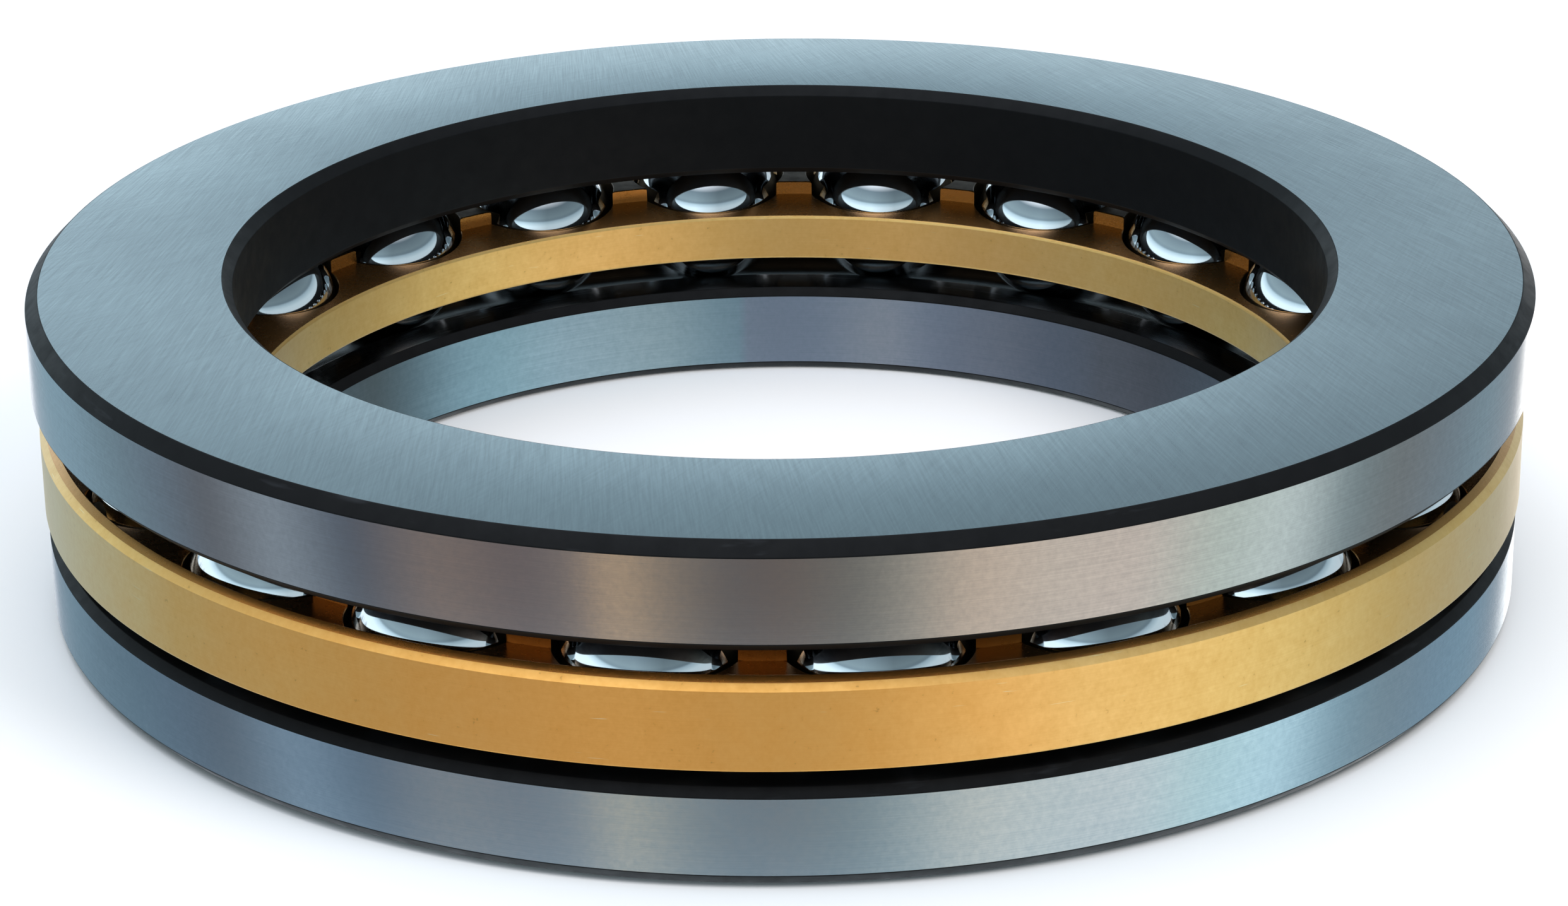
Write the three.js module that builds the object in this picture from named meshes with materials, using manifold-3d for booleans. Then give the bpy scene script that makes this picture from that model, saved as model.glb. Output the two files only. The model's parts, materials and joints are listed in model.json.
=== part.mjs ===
// Single-direction thrust ball bearing with a machined one-piece cage.
//
// The bearing axis is the Z axis and the origin is the centre of the bottom seat, so the
// bearing stands on z = 0 and carries its load down the axis.
//
//   housing_washer   upper washer, located by its outside diameter, turns about Z
//   cage             ring with one pocket for each ball, turns at half the washer's speed
//   ball_01 ...      the rolling elements, evenly spaced on the pitch circle
//   shaft_washer     lower washer, located by its bore
//
// Both washers carry a raceway groove on the face that looks at the balls. Units are millimetres.

import * as THREE from "three";
import { mergeVertices } from "three/addons/utils/BufferGeometryUtils.js";
import Module from "manifold-3d";

// ---------------------------------------------------------------- boundary dimensions
const TOTAL_HEIGHT = 62;
const OUTSIDE_RADIUS = 140; // housing washer, outside
const HOUSING_BORE_RADIUS = 102; // housing washer, bore: clears the shaft
const SHAFT_WASHER_RADIUS = 138.5; // shaft washer, outside: clears the housing
const SHAFT_BORE_RADIUS = 100; // shaft washer, bore: sits on the shaft

// ---------------------------------------------------------------- washers
const HOUSING_THICKNESS = 19;
const SHAFT_THICKNESS = 18;
const SEAT_CHAMFER = 2.3; // outer corner of each seat
const HOUSING_BORE_CHAMFER = 1.8; // bore corner of the upper seat
const SHAFT_BORE_CHAMFER = 1.5; // bore corner of the lower seat
const INNER_CHAMFER = 1.5; // every corner on the ball side

// ---------------------------------------------------------------- balls and raceways
const BALL_COUNT = 20;
const BALL_RADIUS = 15.875;
const PITCH_RADIUS = 120;
const GROOVE_RADIUS = 17.1; // a little larger than the ball, as a raceway is
const RUNNING_GAP = 0.15; // ball to groove bottom
const FIRST_BALL_ANGLE = 7.4; // degrees past the -Y side, towards +X

// ---------------------------------------------------------------- cage
// Half heights are measured from the cage's own middle plane. Only the outer corner differs
// above and below it: the upper one has a wide chamfer, the lower one is just broken.
const CAGE_DROP = 1.3; // the loose cage hangs this far below the ball centres
const CAGE_OUTER_RADIUS = 139;
const CAGE_INNER_RADIUS = 101.2;
const CAGE_EDGE_HALF_HEIGHT = 7.7; // where both outer chamfers meet the rim
const CAGE_UPPER_CHAMFER = 1.1;
const CAGE_LOWER_CHAMFER = 0.3;
const CAGE_LIP = { radius: 136.5, half: 8.6 }; // crest of the rim
const CAGE_RECESS = { radius: 135.8, half: 5.9 }; // floor between the rim and the ridge
const RIDGE_HALF_HEIGHT = 8.7; // raised ridge along the pitch circle
const RIDGE_OUTER_RADIUS = 125.4;
const RIDGE_INNER_RADIUS = 112.3;
const RIDGE_FOOT_HALF_HEIGHT = 6; // floor where the ridge meets the inner flange
const CAGE_BORE_HALF_HEIGHT = 4.2;
const CAGE_BORE_CHAMFER = 0.5;
const POCKET_RADIUS = 16.3;

// ---------------------------------------------------------------- fineness of the facets
const WASHER_FACETS = 72;
const CAGE_FACETS = 100;
const POCKET_FACETS = 30;
const GROOVE_STEPS = 6;
const BALL_DETAIL = 2;

// ---------------------------------------------------------------- derived levels
const SHAFT_FACE_Z = SHAFT_THICKNESS;
const HOUSING_FACE_Z = TOTAL_HEIGHT - HOUSING_THICKNESS;
const BALL_CENTRE_Z = (SHAFT_FACE_Z + HOUSING_FACE_Z) / 2;
const CAGE_MIDDLE_Z = BALL_CENTRE_Z - CAGE_DROP;
const BALL_PITCH = (2 * Math.PI) / BALL_COUNT;

// ---------------------------------------------------------------- materials
const groundSteel = new THREE.MeshStandardMaterial({
  color: 0x8da3ad,
  metalness: 1,
  roughness: 0.35,
});
const ballSteel = new THREE.MeshStandardMaterial({
  color: 0xc8ced2,
  metalness: 1,
  roughness: 0.06,
});
const brass = new THREE.MeshStandardMaterial({
  color: 0xc99a45,
  metalness: 1,
  roughness: 0.4,
});

const wasm = await Module();
wasm.setup();

// A closed three.js geometry as a manifold-3d solid.
function toSolid(geometry) {
  const bare = geometry.clone();
  bare.deleteAttribute("normal");
  bare.deleteAttribute("uv");
  const merged = mergeVertices(bare, 1e-4);
  return new wasm.Manifold(
    new wasm.Mesh({
      numProp: 3,
      vertProperties: merged.attributes.position.array,
      triVerts: new Uint32Array(merged.index.array),
    }),
  );
}

// A manifold-3d solid as a flat-shaded three.js geometry.
function toGeometry(solid) {
  const mesh = solid.getMesh();
  const indexed = new THREE.BufferGeometry();
  indexed.setAttribute("position", new THREE.BufferAttribute(mesh.vertProperties, 3));
  indexed.setIndex(new THREE.BufferAttribute(mesh.triVerts, 1));
  const geometry = indexed.toNonIndexed();
  geometry.computeVertexNormals();
  return geometry;
}

// Turns a closed outline of [radius, z] points, listed anticlockwise, about the Z axis.
function turned(outline, facets) {
  const points = outline.map(([radius, z]) => new THREE.Vector2(radius, z));
  points.push(points[0].clone());
  const geometry = new THREE.LatheGeometry(points, facets);
  geometry.rotateX(Math.PI / 2);
  return geometry;
}

// The raceway groove as [radius, z] points from its inner to its outer edge. `face` is the
// height of the washer's face and `side` is +1 where the washer lies above the balls.
function groove(face, side) {
  const bottom = BALL_CENTRE_Z + side * (BALL_RADIUS + RUNNING_GAP);
  const centre = bottom - side * GROOVE_RADIUS;
  const halfAngle = Math.acos(Math.abs(face - centre) / GROOVE_RADIUS);
  const points = [];
  for (let i = 0; i <= GROOVE_STEPS; i++) {
    const angle = halfAngle * ((2 * i) / GROOVE_STEPS - 1);
    points.push([
      PITCH_RADIUS + GROOVE_RADIUS * Math.sin(angle),
      centre + side * GROOVE_RADIUS * Math.cos(angle),
    ]);
  }
  return points;
}

function housingWasher() {
  const top = TOTAL_HEIGHT;
  const face = HOUSING_FACE_Z;
  const inner = HOUSING_BORE_RADIUS;
  const outer = OUTSIDE_RADIUS;
  const outline = [
    [inner, face + INNER_CHAMFER],
    [inner + INNER_CHAMFER, face],
    ...groove(face, 1),
    [outer - INNER_CHAMFER, face],
    [outer, face + INNER_CHAMFER],
    [outer, top - SEAT_CHAMFER],
    [outer - SEAT_CHAMFER, top],
    [inner + HOUSING_BORE_CHAMFER, top],
    [inner, top - HOUSING_BORE_CHAMFER],
  ];
  return turned(outline, WASHER_FACETS);
}

function shaftWasher() {
  const face = SHAFT_FACE_Z;
  const inner = SHAFT_BORE_RADIUS;
  const outer = SHAFT_WASHER_RADIUS;
  const outline = [
    [inner, SHAFT_BORE_CHAMFER],
    [inner + SHAFT_BORE_CHAMFER, 0],
    [outer - SEAT_CHAMFER, 0],
    [outer, SEAT_CHAMFER],
    [outer, face - INNER_CHAMFER],
    [outer - INNER_CHAMFER, face],
    ...groove(face, -1).reverse(),
    [inner + INNER_CHAMFER, face],
    [inner, face - INNER_CHAMFER],
  ];
  return turned(outline, WASHER_FACETS);
}

// Half of the cage's section, as [radius, half height] from the outer cylinder in to the bore.
function cageSection(chamfer) {
  return [
    [CAGE_OUTER_RADIUS, CAGE_EDGE_HALF_HEIGHT - chamfer],
    [CAGE_OUTER_RADIUS - chamfer, CAGE_EDGE_HALF_HEIGHT],
    [CAGE_LIP.radius, CAGE_LIP.half],
    [CAGE_RECESS.radius, CAGE_RECESS.half],
    [RIDGE_OUTER_RADIUS, CAGE_RECESS.half],
    [RIDGE_OUTER_RADIUS, RIDGE_HALF_HEIGHT],
    [RIDGE_INNER_RADIUS, RIDGE_HALF_HEIGHT],
    [RIDGE_INNER_RADIUS, RIDGE_FOOT_HALF_HEIGHT],
    [CAGE_INNER_RADIUS + CAGE_BORE_CHAMFER, CAGE_BORE_HALF_HEIGHT + CAGE_BORE_CHAMFER],
    [CAGE_INNER_RADIUS, CAGE_BORE_HALF_HEIGHT],
  ];
}

// Centre of ball number `index` on the pitch circle, seen from above.
function ballAngle(index) {
  return THREE.MathUtils.degToRad(FIRST_BALL_ANGLE - 90) + index * BALL_PITCH;
}

function cageRing() {
  const upper = cageSection(CAGE_UPPER_CHAMFER).map(([radius, half]) => [
    radius,
    CAGE_MIDDLE_Z + half,
  ]);
  const lower = cageSection(CAGE_LOWER_CHAMFER).map(([radius, half]) => [
    radius,
    CAGE_MIDDLE_Z - half,
  ]);
  let ring = toSolid(turned([...upper, ...lower.reverse()], CAGE_FACETS));
  for (let index = 0; index < BALL_COUNT; index++) {
    const drill = new THREE.CylinderGeometry(
      POCKET_RADIUS,
      POCKET_RADIUS,
      3 * RIDGE_HALF_HEIGHT,
      POCKET_FACETS,
    );
    drill.rotateX(Math.PI / 2);
    drill.translate(PITCH_RADIUS, 0, CAGE_MIDDLE_Z);
    drill.rotateZ(ballAngle(index));
    ring = ring.subtract(toSolid(drill));
  }
  return toGeometry(ring);
}

function named(name, geometry, material) {
  const mesh = new THREE.Mesh(geometry, material);
  mesh.name = name;
  return mesh;
}

// ---------------------------------------------------------------- assembly
const bearing = new THREE.Group();
bearing.add(named("shaft_washer", shaftWasher(), groundSteel));
bearing.add(named("housing_washer", housingWasher(), groundSteel));
bearing.add(named("cage", cageRing(), brass));

const ballSet = new THREE.Group();
ballSet.position.z = BALL_CENTRE_Z;
const ballShape = new THREE.IcosahedronGeometry(BALL_RADIUS, BALL_DETAIL);
for (let index = 0; index < BALL_COUNT; index++) {
  const number = String(index + 1).padStart(2, "0");
  const ball = named(`ball_${number}`, ballShape, ballSteel);
  const angle = ballAngle(index);
  ball.position.set(PITCH_RADIUS * Math.cos(angle), PITCH_RADIUS * Math.sin(angle), 0);
  ball.rotation.z = angle;
  ballSet.add(ball);
}
bearing.add(ballSet);

export default bearing;
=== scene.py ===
"""Looks of a single-direction thrust ball bearing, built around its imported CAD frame.

Both washers, the cage and the balls are fine meshes that replace the faceted CAD solids and ride on
their bodies. Outlines are lists of (radius, height) in millimetres in the frame of the part: the
origin is the centre of the lower seat and +Z is the bearing axis.
"""

import json
import math

import bmesh
import bpy
from mathutils import Matrix, Vector
from mathutils.geometry import delaunay_2d_cdt


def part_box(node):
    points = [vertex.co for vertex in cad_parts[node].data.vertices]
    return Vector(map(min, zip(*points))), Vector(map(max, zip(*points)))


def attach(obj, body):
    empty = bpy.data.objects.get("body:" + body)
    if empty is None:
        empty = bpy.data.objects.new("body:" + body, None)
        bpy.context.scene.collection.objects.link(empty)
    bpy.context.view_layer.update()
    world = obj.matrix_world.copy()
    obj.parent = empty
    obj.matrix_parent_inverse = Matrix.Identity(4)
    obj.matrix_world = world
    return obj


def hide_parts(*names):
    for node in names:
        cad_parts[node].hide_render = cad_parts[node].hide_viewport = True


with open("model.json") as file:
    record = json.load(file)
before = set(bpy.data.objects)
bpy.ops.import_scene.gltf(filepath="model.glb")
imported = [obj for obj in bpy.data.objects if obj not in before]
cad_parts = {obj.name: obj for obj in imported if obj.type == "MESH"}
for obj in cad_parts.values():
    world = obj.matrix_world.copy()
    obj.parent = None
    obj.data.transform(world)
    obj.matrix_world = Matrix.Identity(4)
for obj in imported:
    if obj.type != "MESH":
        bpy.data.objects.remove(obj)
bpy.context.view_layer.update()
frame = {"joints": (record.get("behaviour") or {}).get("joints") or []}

MM = 0.001

# ------------------------------------------------------------------ sizes taken from the frame
housing_low, housing_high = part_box("housing_washer")
shaft_low, shaft_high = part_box("shaft_washer")
cage_low, cage_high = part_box("cage")
HOUSING_RADIUS = housing_high.x / MM
HOUSING_FACE = housing_low.z / MM
TOP = housing_high.z / MM
SHAFT_RADIUS = shaft_high.x / MM
SHAFT_FACE = shaft_high.z / MM
BALL_HEIGHT = (HOUSING_FACE + SHAFT_FACE) / 2
CAGE_RADIUS = cage_high.x / MM
CAGE_MIDDLE = (cage_low.z + cage_high.z) / 2 / MM
rolls = [j for j in frame["joints"] if j["name"].startswith("ball_")]
BALL_COUNT = len(rolls)
first_ball = Vector(rolls[0]["pos_m"])
PITCH_RADIUS = math.hypot(first_ball.x, first_ball.y) / MM
FIRST_ANGLE = math.atan2(first_ball.y, first_ball.x)

# ------------------------------------------------------------------ sizes of the pieces, mm
HOUSING_BORE = 102.0
SHAFT_BORE = 100.0
SEAT_CHAMFER = 2.3
HOUSING_BORE_CHAMFER = 1.8
SHAFT_BORE_CHAMFER = 1.5
INNER_CHAMFER = 1.5
BALL_RADIUS = 15.875
GROOVE_RADIUS = 17.1
RUNNING_GAP = 0.15
EDGE_ROUNDING = 0.16
POCKET_RADIUS = 16.3
POCKET_ROUNDING = 0.14
RING_STEPS = 288
CAGE_STEPS = 360
POCKET_STEPS = 80
GROOVE_STEPS = 24
ROUNDING_STEPS = 5
BALL_SUBDIVISIONS = 5
SMOOTH_CORNER_DEGREES = 12  # corners flatter than this are left as they are
WASHER_SHARP_DEGREES = 16
CAGE_SHARP_DEGREES = 9

CAGE_BORE = 101.2
CAGE_BORE_EDGE = 101.7  # the bore chamfer ends here
RIDGE_INNER = 112.35
RIDGE_OUTER = 125.35
RIM_INNER = 135.8
RIM_CREST = 137.85  # the wide upper chamfer starts here
CAGE_BORE_HALF_HEIGHT = 4.2
FLANGE_HALF_HEIGHT = 6.0
RECESS_HALF_HEIGHT = 5.9
RIDGE_HALF_HEIGHT = 8.7
RIM_HALF_HEIGHT = 8.55
EDGE_BREAK = 0.15  # sharp edges of the cage are broken by this much

# The cage's half section: radius and height above its middle plane, from the bore outwards. Only
# its outer corner differs above and below: the upper one is a wide chamfer.
CAGE_SECTION = [
    (CAGE_BORE, CAGE_BORE_HALF_HEIGHT),
    (CAGE_BORE + EDGE_BREAK, CAGE_BORE_HALF_HEIGHT + 0.3),
    (CAGE_BORE_EDGE, CAGE_BORE_HALF_HEIGHT + 0.5),
    (RIDGE_INNER - 0.1, FLANGE_HALF_HEIGHT),
    (RIDGE_INNER, RIDGE_HALF_HEIGHT - EDGE_BREAK),
    (RIDGE_INNER + 0.25, RIDGE_HALF_HEIGHT),
    (RIDGE_OUTER - 0.25, RIDGE_HALF_HEIGHT),
    (RIDGE_OUTER, RIDGE_HALF_HEIGHT - EDGE_BREAK),
    (RIDGE_OUTER + 0.1, RECESS_HALF_HEIGHT + 0.05),
    (RIM_INNER, RECESS_HALF_HEIGHT),
    (RIM_INNER + 0.6, RIM_HALF_HEIGHT - 0.05),
    (RIM_INNER + 0.8, RIM_HALF_HEIGHT),
]
CAGE_UPPER_CORNER = [(RIM_CREST, 7.73), (RIM_CREST + 0.13, 7.62), (CAGE_RADIUS, 6.6)]
CAGE_LOWER_CORNER = [(138.7, 7.7), (138.92, 7.6), (CAGE_RADIUS, 7.4)]


# ------------------------------------------------------------------ node helpers
class Nodes:
    """A material's node tree, with short calls for the nodes used here."""

    def __init__(self, tree):
        self.tree = tree
        tree.nodes.clear()

    def add(self, kind, **settings):
        node = self.tree.nodes.new(kind)
        for name, value in settings.items():
            setattr(node, name, value)
        return node

    def put(self, socket, value):
        if isinstance(value, bpy.types.NodeSocket):
            self.tree.links.new(value, socket)
        else:
            socket.default_value = value

    def math(self, operation, a, b=0.0):
        node = self.add("ShaderNodeMath", operation=operation)
        self.put(node.inputs[0], a)
        self.put(node.inputs[1], b)
        return node.outputs[0]

    def blend(self, a, b, share):
        """Weighted sum of two values, `share` of the first and the rest of the second."""
        return self.math("ADD", self.math("MULTIPLY", a, share), self.math("MULTIPLY", b, 1 - share))

    def split(self, vector):
        node = self.add("ShaderNodeSeparateXYZ")
        self.put(node.inputs[0], vector)
        return node.outputs

    def vector(self, x, y, z):
        node = self.add("ShaderNodeCombineXYZ")
        for socket, value in zip(node.inputs, (x, y, z)):
            self.put(socket, value)
        return node.outputs[0]

    def noise(self, vector, scale=1.0, detail=2.0, roughness=0.5):
        node = self.add("ShaderNodeTexNoise")
        self.put(node.inputs["Vector"], vector)
        self.put(node.inputs["Scale"], scale)
        self.put(node.inputs["Detail"], detail)
        self.put(node.inputs["Roughness"], roughness)
        return node.outputs["Fac"]

    def remap(self, value, low, high, to_low=0.0, to_high=1.0):
        node = self.add("ShaderNodeMapRange")
        for socket, number in zip(node.inputs, (value, low, high, to_low, to_high)):
            self.put(socket, number)
        return node.outputs[0]

    def mix(self, factor, a, b, blend="MIX"):
        node = self.add("ShaderNodeMix", data_type="RGBA", blend_type=blend)
        self.put(node.inputs[0], factor)
        self.put(node.inputs[6], a)
        self.put(node.inputs[7], b)
        return node.outputs[2]

    def ramp(self, value, stops):
        node = self.add("ShaderNodeValToRGB")
        self.put(node.inputs[0], value)
        elements = node.color_ramp.elements
        while len(elements) < len(stops):
            elements.new(0.5)
        for element, (place, colour) in zip(elements, stops):
            element.position = place
            element.color = (*colour, 1)
        return node.outputs[0]

    def bump(self, height, strength, distance):
        node = self.add("ShaderNodeBump")
        self.put(node.inputs["Strength"], strength)
        self.put(node.inputs["Distance"], distance)
        self.put(node.inputs["Height"], height)
        return node.outputs[0]


def place_on_piece(nodes):
    """The shaded point in its piece's own frame, in metres."""
    return nodes.add("ShaderNodeTexCoord").outputs["Object"]


def radius_of(nodes, x, y):
    squared = nodes.math("ADD", nodes.math("MULTIPLY", x, x), nodes.math("MULTIPLY", y, y))
    return nodes.math("SQRT", squared)


def polar(nodes, place):
    """Radius in millimetres, angle in radians and height in millimetres about the bearing axis."""
    x, y, z = nodes.split(place)
    radius = nodes.math("MULTIPLY", radius_of(nodes, x, y), 1 / MM)
    angle = nodes.math("ARCTAN2", y, x)
    height = nodes.math("MULTIPLY", z, 1 / MM)
    return radius, angle, height


def around(nodes, angle, along, scale_around, scale_along):
    """Texture coordinates that close on themselves round the axis."""
    turn_x = nodes.math("MULTIPLY", nodes.math("COSINE", angle), scale_around)
    turn_y = nodes.math("MULTIPLY", nodes.math("SINE", angle), scale_around)
    return nodes.vector(turn_x, turn_y, nodes.math("MULTIPLY", along, scale_along))


def material(name, preview):
    made = bpy.data.materials.new(name)
    made.use_nodes = True
    made.diffuse_color = (*preview, 1)
    nodes = Nodes(made.node_tree)
    shader = nodes.add("ShaderNodeBsdfPrincipled")
    output = nodes.add("ShaderNodeOutputMaterial")
    made.node_tree.links.new(shader.outputs[0], output.inputs[0])
    return made, nodes, shader


def grain(nodes, shader, amount, direction):
    """Stretches the reflections along a direction, as fine parallel scratches do."""
    shader.inputs["Anisotropic"].default_value = amount
    nodes.put(shader.inputs["Tangent"], direction)


# ------------------------------------------------------------------ materials
# Colours are linear RGB. A pair is the dark and the light end of a mottle.
SEAT_STEEL = ((0.32, 0.37, 0.40), (0.52, 0.58, 0.61))
HOUSING_SIDE_STEEL = ((0.38, 0.375, 0.37), (0.50, 0.495, 0.485))
SHAFT_SIDE_STEEL = ((0.37, 0.49, 0.57), (0.50, 0.62, 0.70))
SHAFT_BORE_STEEL = ((0.27, 0.42, 0.52), (0.35, 0.52, 0.64))
# The raceway colour is dark from oil, and from painted shade in the gap between the washers.
RACEWAY_OIL_AND_SHADE = ((0.11, 0.115, 0.12), (0.19, 0.20, 0.21))
BLACK_STEEL = ((0.0045, 0.0046, 0.005), (0.0095, 0.0097, 0.0102))
RUBBED_BLACK = (0.03, 0.032, 0.036)
YELLOW_BRASS = ((0.86, 0.52, 0.16), (0.98, 0.64, 0.24))
COPPER_BRASS = ((0.88, 0.43, 0.10), (0.98, 0.53, 0.15))
BRASS_PIT = (0.30, 0.16, 0.05)
BRASS_SCRATCH = (0.97, 0.83, 0.5)
BRASS_PAINTED_SHEEN = (0.98, 0.86, 0.73)
# Angle round the axis towards which the brass colour turns from yellow to copper red.
COPPER_SIDE_ANGLE = math.radians(-108)  # the brass is copper red on this side
# The cage's sides keep the plain brass colour; its other upper faces are multiplied by the darker
# tint below, which is painted shade.
BRIGHT_TINT = (1.0, 1.0, 1.0)
PAINTED_SHADE_TINT = (0.62, 0.46, 0.34)
# Dark brass of the pocket walls, also used on the ridge top and the underside: old oil, and painted
# shade.
OIL_AND_SHADE_BRASS = ((0.05, 0.03, 0.014), (0.14, 0.085, 0.035))
BALL_STEEL = ((0.66, 0.68, 0.70), (0.78, 0.80, 0.82))
FLOOR_PAINT = (0.96, 0.93, 0.91)
WHITE = (1, 1, 1)

# A painted shade is a colour to multiply by, standing for shade on some sides of the ground steel:
# the angle in degrees at its clear side, and the cosines of the turn from that angle where the shade
# is full and gone.
SIDE_PAINTED_SHADES = [((0.52, 0.44, 0.42), -76, 0.25, 0.85)]
BORE_PAINTED_SHADES = [((1.05, 0.87, 0.92), 184, 0.0, 0.02), ((0.58, 0.47, 0.40), 97, 0.66, 0.93)]

# Each fan of scratches: the point it runs to, in metres, and its share of the pattern.
GRINDING_FANS = [((-0.056, 0.334, 0.0), 0.7), ((0.22, 0.30, 0.0), 0.3)]
SCRATCHES_PER_RADIAN = 760.0
SCRATCH_BREAKS_PER_METRE = 70.0


def tone(nodes, value, shades):
    dark, light = shades
    return nodes.mix(value, (*dark, 1), (*light, 1))


def fan_of_scratches(nodes, place, centre):
    """Fine straight scratches that all point to one centre."""
    shift = nodes.add("ShaderNodeVectorMath", operation="SUBTRACT")
    nodes.put(shift.inputs[0], place)
    nodes.put(shift.inputs[1], centre)
    x, y, _ = nodes.split(shift.outputs[0])
    bearing = nodes.math("ARCTAN2", x, nodes.math("MULTIPLY", y, -1.0))
    across = nodes.math("MULTIPLY", bearing, SCRATCHES_PER_RADIAN)
    along = nodes.math("MULTIPLY", radius_of(nodes, x, y), SCRATCH_BREAKS_PER_METRE)
    return nodes.noise(nodes.vector(across, along, 0.0), detail=3.0, roughness=0.65)


def ground_seat():
    """Face ground off centre on a rotary table, which leaves two crossing fans of scratches."""
    made, nodes, shader = material("ground_seat", (0.45, 0.52, 0.56))
    place = place_on_piece(nodes)
    scratches = 0.0
    for centre, weight in GRINDING_FANS:
        fan = nodes.math("MULTIPLY", fan_of_scratches(nodes, place, centre), weight)
        scratches = nodes.math("ADD", scratches, fan)
    cloud = nodes.noise(place, scale=26.0, detail=3.0, roughness=0.55)
    contrast = nodes.remap(nodes.blend(scratches, cloud, 0.75), 0.34, 0.66)
    nodes.put(shader.inputs["Base Color"], tone(nodes, contrast, SEAT_STEEL))
    nodes.put(shader.inputs["Roughness"], nodes.remap(contrast, 0.0, 1.0, 0.28, 0.20))
    nodes.put(shader.inputs["Metallic"], 1.0)
    nodes.put(shader.inputs["Normal"], nodes.bump(scratches, strength=0.35, distance=0.00006))
    round_axis = nodes.add("ShaderNodeTangent", direction_type="RADIAL", axis="Z")
    grain(nodes, shader, 0.4, round_axis.outputs[0])
    return made


def ground_side(name, shades, rough, metal, painted_shades):
    """Cylinder ground between centres: very fine lines round the washer, and painted shade that
    darkens and tints some sides by angle round the axis.
    """
    made, nodes, shader = material(name, shades[1])
    place = place_on_piece(nodes)
    _, angle, height = polar(nodes, place)
    lines = nodes.noise(around(nodes, angle, height, 5.0, 7.0), detail=4.0, roughness=0.65)
    grains = nodes.noise(place, scale=900.0, detail=2.0, roughness=0.6)
    cloud = nodes.noise(place, scale=18.0, detail=2.0, roughness=0.5)
    fine = nodes.blend(lines, grains, 0.6)
    contrast = nodes.remap(nodes.blend(fine, cloud, 0.8), 0.36, 0.64)
    base = tone(nodes, contrast, shades)
    # Painted shade: the colour is multiplied darker and tinted on some sides, by angle round the
    # axis.
    for tint, clear_angle, full, gone in painted_shades:
        share = nodes.math("COSINE", nodes.math("SUBTRACT", angle, math.radians(clear_angle)))
        film = tone(nodes, nodes.remap(share, full, gone), (tint, WHITE))
        base = nodes.mix(1.0, base, film, "MULTIPLY")
    nodes.put(shader.inputs["Base Color"], base)
    nodes.put(shader.inputs["Roughness"], nodes.remap(contrast, 0.0, 1.0, rough + 0.04, rough - 0.03))
    nodes.put(shader.inputs["Metallic"], metal)
    nodes.put(shader.inputs["Normal"], nodes.bump(fine, strength=0.25, distance=0.00005))
    grain(nodes, shader, 0.8, nodes.vector(0.0, 0.0, 1.0))
    return made


def raceway():
    """Honed groove under a film of dark oil, with its colour painted darker still as shade between
    the washers.
    """
    made, nodes, shader = material("raceway_steel", (0.5, 0.52, 0.54))
    radius, angle, _ = polar(nodes, place_on_piece(nodes))
    lines = nodes.noise(around(nodes, angle, radius, 4.0, 9.0), detail=3.0, roughness=0.6)
    nodes.put(shader.inputs["Base Color"], tone(nodes, lines, RACEWAY_OIL_AND_SHADE))
    nodes.put(shader.inputs["Roughness"], nodes.remap(lines, 0.3, 0.7, 0.18, 0.28))
    nodes.put(shader.inputs["Metallic"], 1.0)
    nodes.put(shader.inputs["Normal"], nodes.bump(lines, strength=0.15, distance=0.00003))
    return made


def black_steel():
    """Heat-blackened surface left as turned: dull, faintly mottled, with a few pale smears."""
    made, nodes, shader = material("black_steel", (0.02, 0.021, 0.023))
    place = place_on_piece(nodes)
    radius, angle, height = polar(nodes, place)
    mottle = nodes.noise(place, scale=240.0, detail=4.0, roughness=0.6)
    smear = nodes.noise(around(nodes, angle, height, 9.0, 0.5), detail=3.0, roughness=0.55)
    rubbed = nodes.math("MULTIPLY", nodes.remap(smear, 0.62, 0.85), nodes.remap(radius, 110.0, 130.0))
    base = nodes.mix(rubbed, tone(nodes, mottle, BLACK_STEEL), (*RUBBED_BLACK, 1))
    nodes.put(shader.inputs["Base Color"], base)
    nodes.put(shader.inputs["Roughness"], nodes.remap(mottle, 0.3, 0.7, 0.5, 0.38))
    nodes.put(shader.inputs["Specular IOR Level"], 0.07)
    nodes.put(shader.inputs["Normal"], nodes.bump(mottle, strength=0.3, distance=0.00008))
    return made


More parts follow.
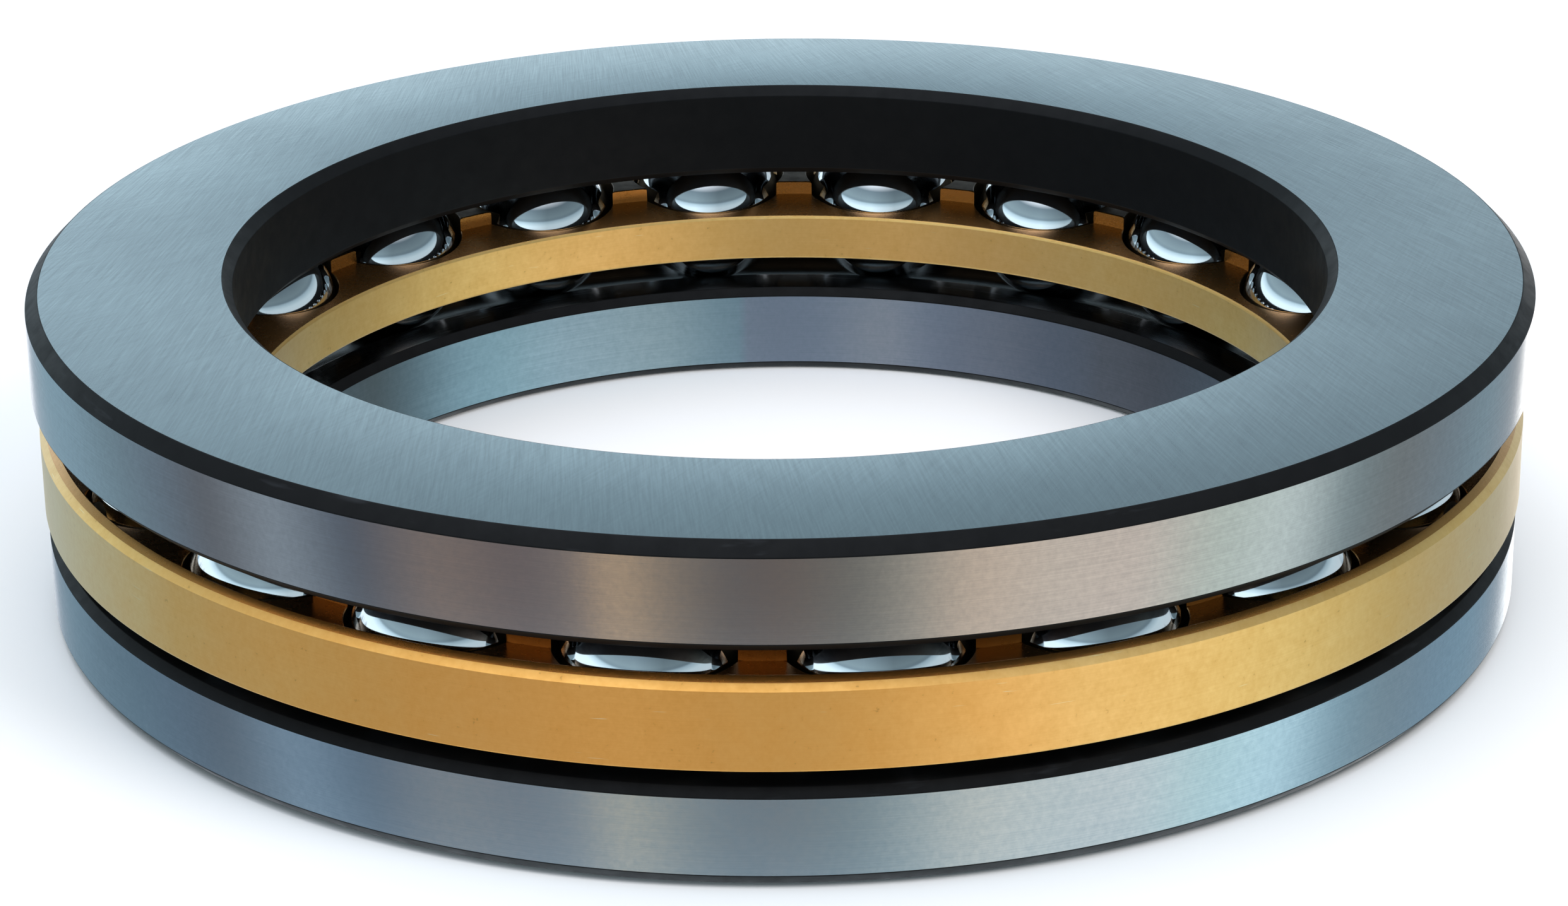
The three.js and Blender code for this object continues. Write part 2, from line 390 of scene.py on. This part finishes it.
def turned_brass(name, tint, smooth, coarse, pitting):
    """Satin turned brass with tarnish clouds, lathe lines, tiny pits and a few long scratches; a
    painted sheen where it is seen at a slant, and a tint that paints shade on the faces.
    """
    made, nodes, shader = material(name, [0.8 * part for part in tint])
    place = place_on_piece(nodes)
    radius, angle, height = polar(nodes, place)
    cloud = nodes.noise(place, scale=22.0, detail=3.0, roughness=0.55)
    mottle = nodes.noise(place, scale=210.0, detail=3.0, roughness=0.6)
    specks = nodes.noise(place, scale=900.0, detail=2.0, roughness=0.6)
    feed = around(nodes, angle, nodes.math("ADD", height, radius), 4.0, 6.0)
    lathe = nodes.noise(feed, detail=3.0, roughness=0.6)
    scuffs = nodes.noise(around(nodes, angle, height, 17.0, 3.0), detail=1.0, roughness=0.4)
    fine = nodes.blend(specks, lathe, 0.6)
    broad = nodes.blend(mottle, cloud, 0.5)
    contrast = nodes.remap(nodes.blend(fine, broad, 0.5), 0.36, 0.64)
    yellow = tone(nodes, contrast, YELLOW_BRASS)
    copper = tone(nodes, contrast, COPPER_BRASS)
    # The brass turns copper red towards one side of the cage, with a cloudy edge.
    warmth = nodes.math("COSINE", nodes.math("SUBTRACT", angle, COPPER_SIDE_ANGLE))
    warmth = nodes.math("ADD", warmth, nodes.remap(cloud, 0.3, 0.7, -0.05, 0.05))
    base = nodes.mix(nodes.remap(warmth, 0.80, 0.96), yellow, copper)
    base = nodes.mix(nodes.remap(specks, 0.30, 0.22, 0.0, pitting), base, (*BRASS_PIT, 1))
    base = nodes.mix(nodes.remap(scuffs, 0.775, 0.80, 0.0, 0.6), base, (*BRASS_SCRATCH, 1))
    # Painted sheen: the colour turns pale where the surface is seen at a slant.
    painted_sheen_facing = nodes.add("ShaderNodeLayerWeight").outputs["Facing"]
    base = nodes.mix(nodes.remap(painted_sheen_facing, 0.5, 0.85, 0.0, 0.4), base, (*BRASS_PAINTED_SHEEN, 1))
    # The tint paints shade: it darkens the copy of the brass used on the shaded faces.
    base = nodes.mix(1.0, base, (*tint, 1), "MULTIPLY")
    nodes.put(shader.inputs["Base Color"], base)
    nodes.put(shader.inputs["Roughness"], nodes.remap(contrast, 0.0, 1.0, coarse, smooth))
    nodes.put(shader.inputs["Metallic"], 0.95)
    nodes.put(shader.inputs["Normal"], nodes.bump(fine, strength=0.25, distance=0.00006))
    grain(nodes, shader, 0.3, nodes.vector(0.0, 0.0, 1.0))
    return made


def pocket_brass_oil_and_shade():
    """Drilled pocket walls, dark with old oil and with painted shade."""
    made, nodes, shader = material("pocket_brass_oil_and_shade", (0.12, 0.08, 0.04))
    film = nodes.noise(place_on_piece(nodes), scale=300.0, detail=3.0, roughness=0.6)
    nodes.put(shader.inputs["Base Color"], tone(nodes, film, OIL_AND_SHADE_BRASS))
    nodes.put(shader.inputs["Roughness"], nodes.remap(film, 0.3, 0.7, 0.5, 0.3))
    nodes.put(shader.inputs["Metallic"], 0.7)
    nodes.put(shader.inputs["Normal"], nodes.bump(film, strength=0.2, distance=0.00006))
    return made


def ball_mirror():
    """Lapped ball: a mirror with the faintest haze."""
    made, nodes, shader = material("ball_mirror", (0.75, 0.77, 0.8))
    haze = nodes.noise(place_on_piece(nodes), scale=160.0, detail=4.0, roughness=0.6)
    nodes.put(shader.inputs["Base Color"], tone(nodes, haze, BALL_STEEL))
    nodes.put(shader.inputs["Roughness"], nodes.remap(haze, 0.35, 0.7, 0.03, 0.07))
    nodes.put(shader.inputs["Metallic"], 1.0)
    return made


def floor_paint():
    made, nodes, shader = material("studio_floor", (0.9, 0.9, 0.9))
    nodes.put(shader.inputs["Base Color"], (*FLOOR_PAINT, 1))
    nodes.put(shader.inputs["Roughness"], 0.7)
    nodes.put(shader.inputs["Specular IOR Level"], 0.1)
    return made


# ------------------------------------------------------------------ meshes and objects
def mesh_from(name, shape, finishes):
    mesh = bpy.data.meshes.new(name)
    shape.to_mesh(mesh)
    shape.free()
    for finish in finishes:
        mesh.materials.append(finish)
    return mesh


def new_object(name, data):
    made = bpy.data.objects.new(name, data)
    bpy.context.scene.collection.objects.link(made)
    return made


def smooth_piece(name, shape, finishes, sharp_degrees):
    """Closes a shape into a piece that is smooth but for the edges above an angle."""
    bmesh.ops.recalc_face_normals(shape, faces=shape.faces)
    mesh = mesh_from(name, shape, finishes)
    mesh.shade_smooth()
    mesh.set_sharp_from_angle(angle=math.radians(sharp_degrees))
    return new_object(name, mesh)


# ------------------------------------------------------------------ turned rings
SEAT, SIDE, BLACK, RACE, BORE = range(5)


def rounded(corners, radius):
    """Rounds each corner of a closed outline. A corner is (r, z, finish of the side after it), and
    its rounding is black where either side is."""
    points = []
    for index, (r, z, finish) in enumerate(corners):
        corner = Vector((r, z))
        back = Vector(corners[index - 1][:2]) - corner
        ahead = Vector(corners[(index + 1) % len(corners)][:2]) - corner
        reach = min(radius, back.length / 2.5, ahead.length / 2.5)
        turn = back.angle(-ahead)
        if turn < math.radians(SMOOTH_CORNER_DEGREES):
            points.append((r, z, finish))
            continue
        edge = BLACK if BLACK in (finish, corners[index - 1][2]) else finish
        start = corner + back.normalized() * reach
        end = corner + ahead.normalized() * reach
        for step in range(ROUNDING_STEPS + 1):
            t = step / ROUNDING_STEPS
            place = start.lerp(corner, t).lerp(corner.lerp(end, t), t)
            points.append((place.x, place.y, finish if step == ROUNDING_STEPS else edge))
    return points


def turned_ring(name, outline, finishes):
    """Turns a closed outline of (r, z, finish) about the axis into one smooth-shaded ring."""
    shape = bmesh.new()
    rows = []
    for r, z, finish in outline:
        row = []
        for step in range(RING_STEPS):
            angle = 2 * math.pi * step / RING_STEPS
            row.append(shape.verts.new((r * MM * math.cos(angle), r * MM * math.sin(angle), z * MM)))
        rows.append(row)
    for index, row in enumerate(rows):
        following = rows[(index + 1) % len(rows)]
        for step in range(RING_STEPS):
            other = (step + 1) % RING_STEPS
            face = shape.faces.new((row[step], row[other], following[other], following[step]))
            face.material_index = outline[index][2]
    return smooth_piece(name, shape, finishes, WASHER_SHARP_DEGREES)


def groove(face, side, finish, after):
    """Raceway arc from its inner to its outer edge; side is +1 above the balls, -1 below."""
    bottom = BALL_HEIGHT + side * (BALL_RADIUS + RUNNING_GAP)
    centre = bottom - side * GROOVE_RADIUS
    half = math.acos(abs(face - centre) / GROOVE_RADIUS)
    points = []
    for step in range(GROOVE_STEPS + 1):
        angle = half * (2 * step / GROOVE_STEPS - 1)
        r = PITCH_RADIUS + GROOVE_RADIUS * math.sin(angle)
        z = centre + side * GROOVE_RADIUS * math.cos(angle)
        points.append((r, z, finish if step < GROOVE_STEPS else after))
    return points


def housing_washer(finishes):
    corners = [
        (HOUSING_BORE, HOUSING_FACE + INNER_CHAMFER, BLACK),
        (HOUSING_BORE + INNER_CHAMFER, HOUSING_FACE, BLACK),
        *groove(HOUSING_FACE, 1, RACE, BLACK),
        (HOUSING_RADIUS - INNER_CHAMFER, HOUSING_FACE, BLACK),
        (HOUSING_RADIUS, HOUSING_FACE + INNER_CHAMFER, SIDE),
        (HOUSING_RADIUS, TOP - SEAT_CHAMFER, BLACK),
        (HOUSING_RADIUS - SEAT_CHAMFER, TOP, SEAT),
        (HOUSING_BORE + HOUSING_BORE_CHAMFER, TOP, BLACK),
        (HOUSING_BORE, TOP - HOUSING_BORE_CHAMFER, BLACK),
    ]
    return turned_ring("housing_washer_steel", rounded(corners, EDGE_ROUNDING), finishes)


def shaft_washer(finishes):
    corners = [
        (SHAFT_BORE, SHAFT_BORE_CHAMFER, BLACK),
        (SHAFT_BORE + SHAFT_BORE_CHAMFER, 0.0, SEAT),
        (SHAFT_RADIUS - SEAT_CHAMFER, 0.0, BLACK),
        (SHAFT_RADIUS, SEAT_CHAMFER, SIDE),
        (SHAFT_RADIUS, SHAFT_FACE - INNER_CHAMFER, BLACK),
        (SHAFT_RADIUS - INNER_CHAMFER, SHAFT_FACE, BLACK),
        *reversed(groove(SHAFT_FACE, -1, RACE, RACE)),
        (SHAFT_BORE + INNER_CHAMFER, SHAFT_FACE, BLACK),
        (SHAFT_BORE, SHAFT_FACE - INNER_CHAMFER, BORE),
    ]
    return turned_ring("shaft_washer_steel", rounded(corners, EDGE_ROUNDING), finishes)


# ------------------------------------------------------------------ cage
def section_height(section, r):
    """Half height of the cage at radius r, straight between the points of its section."""
    for (r0, h0), (r1, h1) in zip(section, section[1:]):
        if r <= r1:
            return h0 + (h1 - h0) * max(0.0, (r - r0) / (r1 - r0))
    return section[-1][1]


def pocket_centre(index):
    angle = FIRST_ANGLE + index * 2 * math.pi / BALL_COUNT
    return Vector((PITCH_RADIUS * math.cos(angle), PITCH_RADIUS * math.sin(angle)))


def circle(centre, radius, count):
    turn = 2 * math.pi / count
    return [centre + radius * Vector((math.cos(i * turn), math.sin(i * turn))) for i in range(count)]


def cage_plan(centres, radii):
    """Triangles of the ring seen from above, with the pockets left out."""
    loops = [circle(Vector((0, 0)), r, CAGE_STEPS) for r in radii]
    for centre in centres:
        loops.append(circle(centre, POCKET_RADIUS, POCKET_STEPS))
        loops.append(circle(centre, POCKET_RADIUS + POCKET_ROUNDING, POCKET_STEPS))
    edges = []
    start = 0
    for loop in loops:
        edges += [(start + i, start + (i + 1) % len(loop)) for i in range(len(loop))]
        start += len(loop)
    points = [point for loop in loops for point in loop]
    plan, _, faces, *_ = delaunay_2d_cdt(points, edges, [], 0, 1e-5)

    def kept(face):
        middle = sum((plan[i] for i in face), Vector((0, 0))) / len(face)
        clear = all((middle - c).length > POCKET_RADIUS * 0.9995 for c in centres)
        return clear and radii[0] * 0.99995 < middle.length < radii[-1]

    return plan, [face for face in faces if kept(face)]


# The cage's finishes: bright brass, brass darkened by painted shade, and dark oiled brass with
# painted shade.
BRASS, PAINTED_SHADE_FACE, OIL_AND_PAINTED_SHADE = range(3)


def cage_finish(r, side):
    """Bore and outer chamfers are bright; ridge top and underside take the dark brass of the pockets,
    old oil and painted shade; the other upper faces take the brass darkened by painted shade.
    """
    if r > RIM_CREST or r < CAGE_BORE_EDGE:
        return BRASS
    if side < 0 or RIDGE_INNER + EDGE_BREAK < r < RIDGE_OUTER - EDGE_BREAK:
        return OIL_AND_PAINTED_SHADE
    return PAINTED_SHADE_FACE


def cage_ring(finishes):
    """The plan of the ring is lifted to its section above and below the middle plane, so every
    pocket edge is clean and rounded."""
    centres = [pocket_centre(i) for i in range(BALL_COUNT)]
    sections = {1: CAGE_SECTION + CAGE_UPPER_CORNER, -1: CAGE_SECTION + CAGE_LOWER_CORNER}
    radii = sorted({r for section in sections.values() for r, _ in section})
    plan, faces = cage_plan(centres, radii)
    shape = bmesh.new()
    sheets = {1: {}, -1: {}}
    gaps = {}
    for index in sorted({i for face in faces for i in face}):
        point = plan[index]
        gaps[index] = min((point - c).length for c in centres) - POCKET_RADIUS
        fall = POCKET_ROUNDING * (1 - min(1.0, max(0.0, gaps[index] / POCKET_ROUNDING)))
        for side, section in sections.items():
            height = section_height(section, point.length) - fall
            place = (point.x * MM, point.y * MM, (CAGE_MIDDLE + side * height) * MM)
            sheets[side][index] = shape.verts.new(place)
    upper, lower = sheets[1], sheets[-1]
    rim = set()
    for face in faces:
        middle = sum(plan[i].length for i in face) / len(face)
        shape.faces.new([upper[i] for i in face]).material_index = cage_finish(middle, 1)
        shape.faces.new([lower[i] for i in reversed(face)]).material_index = cage_finish(middle, -1)
        for a, b in zip(face, face[1:] + face[:1]):
            if (b, a) in rim:
                rim.remove((b, a))
            else:
                rim.add((a, b))
    for a, b in sorted(rim):
        wall = shape.faces.new((upper[b], upper[a], lower[a], lower[b]))
        # Pocket walls take the dark oiled brass with painted shade; the outer walls take the bright
        # brass.
        wall.material_index = OIL_AND_PAINTED_SHADE if max(gaps[a], gaps[b]) < POCKET_ROUNDING else BRASS
    return smooth_piece("cage_brass", shape, finishes, CAGE_SHARP_DEGREES)


# ------------------------------------------------------------------ balls
def ball_mesh(finish):
    shape = bmesh.new()
    bmesh.ops.create_icosphere(shape, subdivisions=BALL_SUBDIVISIONS, radius=BALL_RADIUS * MM)
    mesh = mesh_from("ball_surface", shape, [finish])
    mesh.shade_smooth()
    return mesh


def stand_in(piece, node, body):
    """Puts a piece on its body in place of a CAD node."""
    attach(piece, body)
    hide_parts(node)


def build_washers():
    """The finishes are in the order of SEAT, SIDE, BLACK, RACE and BORE."""
    seat = ground_seat()
    black = black_steel()
    race = raceway()
    housing_side = ground_side("housing_side", HOUSING_SIDE_STEEL, 0.17, 1.0, [])
    # The shaft washer's side and bore carry painted shade by angle round the axis.
    shaft_side = ground_side("shaft_side", SHAFT_SIDE_STEEL, 0.22, 0.9, SIDE_PAINTED_SHADES)
    shaft_bore = ground_side("shaft_bore", SHAFT_BORE_STEEL, 0.36, 0.9, BORE_PAINTED_SHADES)
    upper = housing_washer([seat, housing_side, black, race])
    stand_in(upper, "housing_washer", "housing_washer")
    lower = shaft_washer([seat, shaft_side, black, race, shaft_bore])
    stand_in(lower, "shaft_washer", "shaft_washer")


def build_cage():
    """The finishes are in order: bright brass, brass darkened by painted shade, and dark oiled brass
    with painted shade.
    """
    bright = turned_brass("brass_sides", BRIGHT_TINT, smooth=0.42, coarse=0.50, pitting=0.35)
    # The upper faces take a copy of the brass darkened by painted shade.
    painted_shade_faces = turned_brass("brass_faces_painted_shade", PAINTED_SHADE_TINT, smooth=0.22, coarse=0.30, pitting=0.0)
    stand_in(cage_ring([bright, painted_shade_faces, pocket_brass_oil_and_shade()]), "cage", "cage")


def build_balls():
    surface = ball_mesh(ball_mirror())
    for joint in rolls:
        body = joint["child"]
        ball = new_object(body + "_steel", surface)
        ball.location = joint["pos_m"]
        stand_in(ball, body, body)


# ------------------------------------------------------------------ floor, light and camera
FLOOR_HALF_SIZE = 6.0
KEY_LIGHT_PLACE = (0.7, -0.6, 1.1)
KEY_LIGHT_TARGET = (0, 0, 0.03)


def floor():
    """Plain floor that sends no light back: the surroundings below eye level stand in for it."""
    shape = bmesh.new()
    bmesh.ops.create_grid(shape, x_segments=4, y_segments=4, size=FLOOR_HALF_SIZE)
    made = new_object("floor", mesh_from("floor", shape, [floor_paint()]))
    made.visible_glossy = False
    made.visible_diffuse = False


# Colour of the studio at and below eye level, by turn from the camera side, -180 to 180.
SURROUND = [
    (-180, (1.5, 1.5, 1.55)),
    (-164, (1.3, 1.35, 1.45)),
    (-158, (0.46, 0.56, 0.66)),
    (-146, (0.34, 0.52, 0.64)),
    (-134, (0.36, 0.56, 0.70)),
    (-120, (0.30, 0.46, 0.57)),
    (-105, (0.24, 0.33, 0.43)),
    (-94, (0.20, 0.22, 0.26)),
    (-80, (0.42, 0.52, 0.63)),
    (-66, (0.14, 0.18, 0.25)),
    (-52, (0.37, 0.29, 0.26)),
    (-38, (0.24, 0.20, 0.21)),
    (-30, (0.34, 0.29, 0.28)),
    (-25, (0.88, 0.64, 0.42)),
    (-17, (0.42, 0.34, 0.27)),
    (-8, (0.20, 0.18, 0.18)),
    (0, (0.24, 0.19, 0.17)),
    (11, (0.28, 0.28, 0.26)),
    (19, (0.58, 0.55, 0.48)),
    (28, (1.06, 0.87, 0.70)),
    (40, (1.08, 0.96, 0.84)),
    (54, (1.16, 1.03, 0.93)),
    (66, (0.94, 1.10, 1.02)),
    (80, (1.06, 1.26, 1.28)),
    (92, (0.37, 0.50, 0.55)),
    (104, (0.31, 0.35, 0.37)),
    (118, (0.32, 0.42, 0.50)),
    (131, (0.34, 0.50, 0.60)),
    (140, (0.38, 0.48, 0.56)),
    (149, (0.48, 0.52, 0.57)),
    (157, (2.4, 2.4, 2.4)),
    (180, (2.0, 2.0, 2.0)),
]
# Colour of the studio above eye level behind the bearing, by the sine of the elevation.
SKY = [
    (0.0, (0.98, 1.12, 1.20)),
    (0.24, (0.86, 1.08, 1.18)),
    (0.33, (0.54, 0.74, 0.85)),
    (0.365, (0.24, 0.34, 0.40)),
    (0.43, (0.28, 0.39, 0.44)),
    (0.62, (0.20, 0.28, 0.33)),
    (0.76, (1.1, 1.2, 1.3)),
    (1.0, (2.4, 2.6, 2.9)),
]
GROUND_LIGHT = (0.85, 0.98, 1.08, 1)
SKYLINE = 0.14  # the uneven border between the two lies this far above and below eye level


def surround():
    """World colour by direction. x is to the right of the camera and z is up."""
    world = bpy.data.worlds.new("studio")
    world.use_nodes = True
    bpy.context.scene.world = world
    nodes = Nodes(world.node_tree)
    x, y, z = nodes.split(nodes.add("ShaderNodeTexCoord").outputs["Generated"])
    turn = nodes.math("ARCTAN2", x, nodes.math("MULTIPLY", y, -1.0))
    flattened = nodes.vector(x, y, nodes.math("MULTIPLY", z, 0.35))
    ragged = nodes.noise(flattened, scale=7.0, detail=5.0, roughness=0.7)
    horizon = nodes.math("ADD", z, nodes.remap(ragged, 0.3, 0.7, -SKYLINE, SKYLINE))
    stops = [((angle + 180) / 360, colour) for angle, colour in SURROUND]
    low = nodes.ramp(nodes.remap(turn, -math.pi, math.pi), stops)
    ground = nodes.mix(nodes.remap(z, -0.48, -0.80), low, GROUND_LIGHT)
    high = nodes.ramp(z, SKY)
    side = nodes.remap(x, -0.3, 0.3, 1.22, 0.68)
    high = nodes.mix(1.0, high, nodes.vector(side, side, side), "MULTIPLY")
    colour = nodes.mix(nodes.remap(horizon, -0.05, 0.05), ground, high)
    background = nodes.add("ShaderNodeBackground")
    nodes.put(background.inputs[0], colour)
    nodes.put(background.inputs[1], 1.0)
    output = nodes.add("ShaderNodeOutputWorld")
    world.node_tree.links.new(background.outputs[0], output.inputs[0])


def softbox(name, place, target, size, power):
    light = bpy.data.lights.new(name, "AREA")
    light.shape = "DISK"
    light.size = size
    light.energy = power
    made = new_object(name, light)
    made.location = place
    direction = Vector(target) - Vector(place)
    made.rotation_euler = direction.to_track_quat("-Z", "Y").to_euler()
    made.visible_glossy = False


CAMERA_TARGET = Vector((0.0004, 0.0, 0.0210))
CAMERA_DISTANCE = 0.8449
CAMERA_ELEVATION = math.radians(22.04)
CAMERA_ROLL = math.radians(-0.63)
LENS_MM = 101.65
SENSOR_MM = 36.0


def camera():
    lens = bpy.data.cameras.new("camera")
    lens.lens = LENS_MM
    lens.sensor_width = SENSOR_MM
    made = new_object("camera", lens)
    back = Vector((0, -math.cos(CAMERA_ELEVATION), math.sin(CAMERA_ELEVATION)))
    eye = Matrix.Translation(CAMERA_TARGET + CAMERA_DISTANCE * back)
    level = back.to_track_quat("Z", "Y").to_matrix().to_4x4()
    made.matrix_world = eye @ level @ Matrix.Rotation(CAMERA_ROLL, 4, "Z")
    bpy.context.scene.camera = made


build_washers()
build_cage()
build_balls()
floor()
surround()
softbox("key_light", KEY_LIGHT_PLACE, KEY_LIGHT_TARGET, size=0.6, power=7.0)
camera()
bpy.context.scene.view_settings.view_transform = "Standard"

bpy.context.view_layer.update()
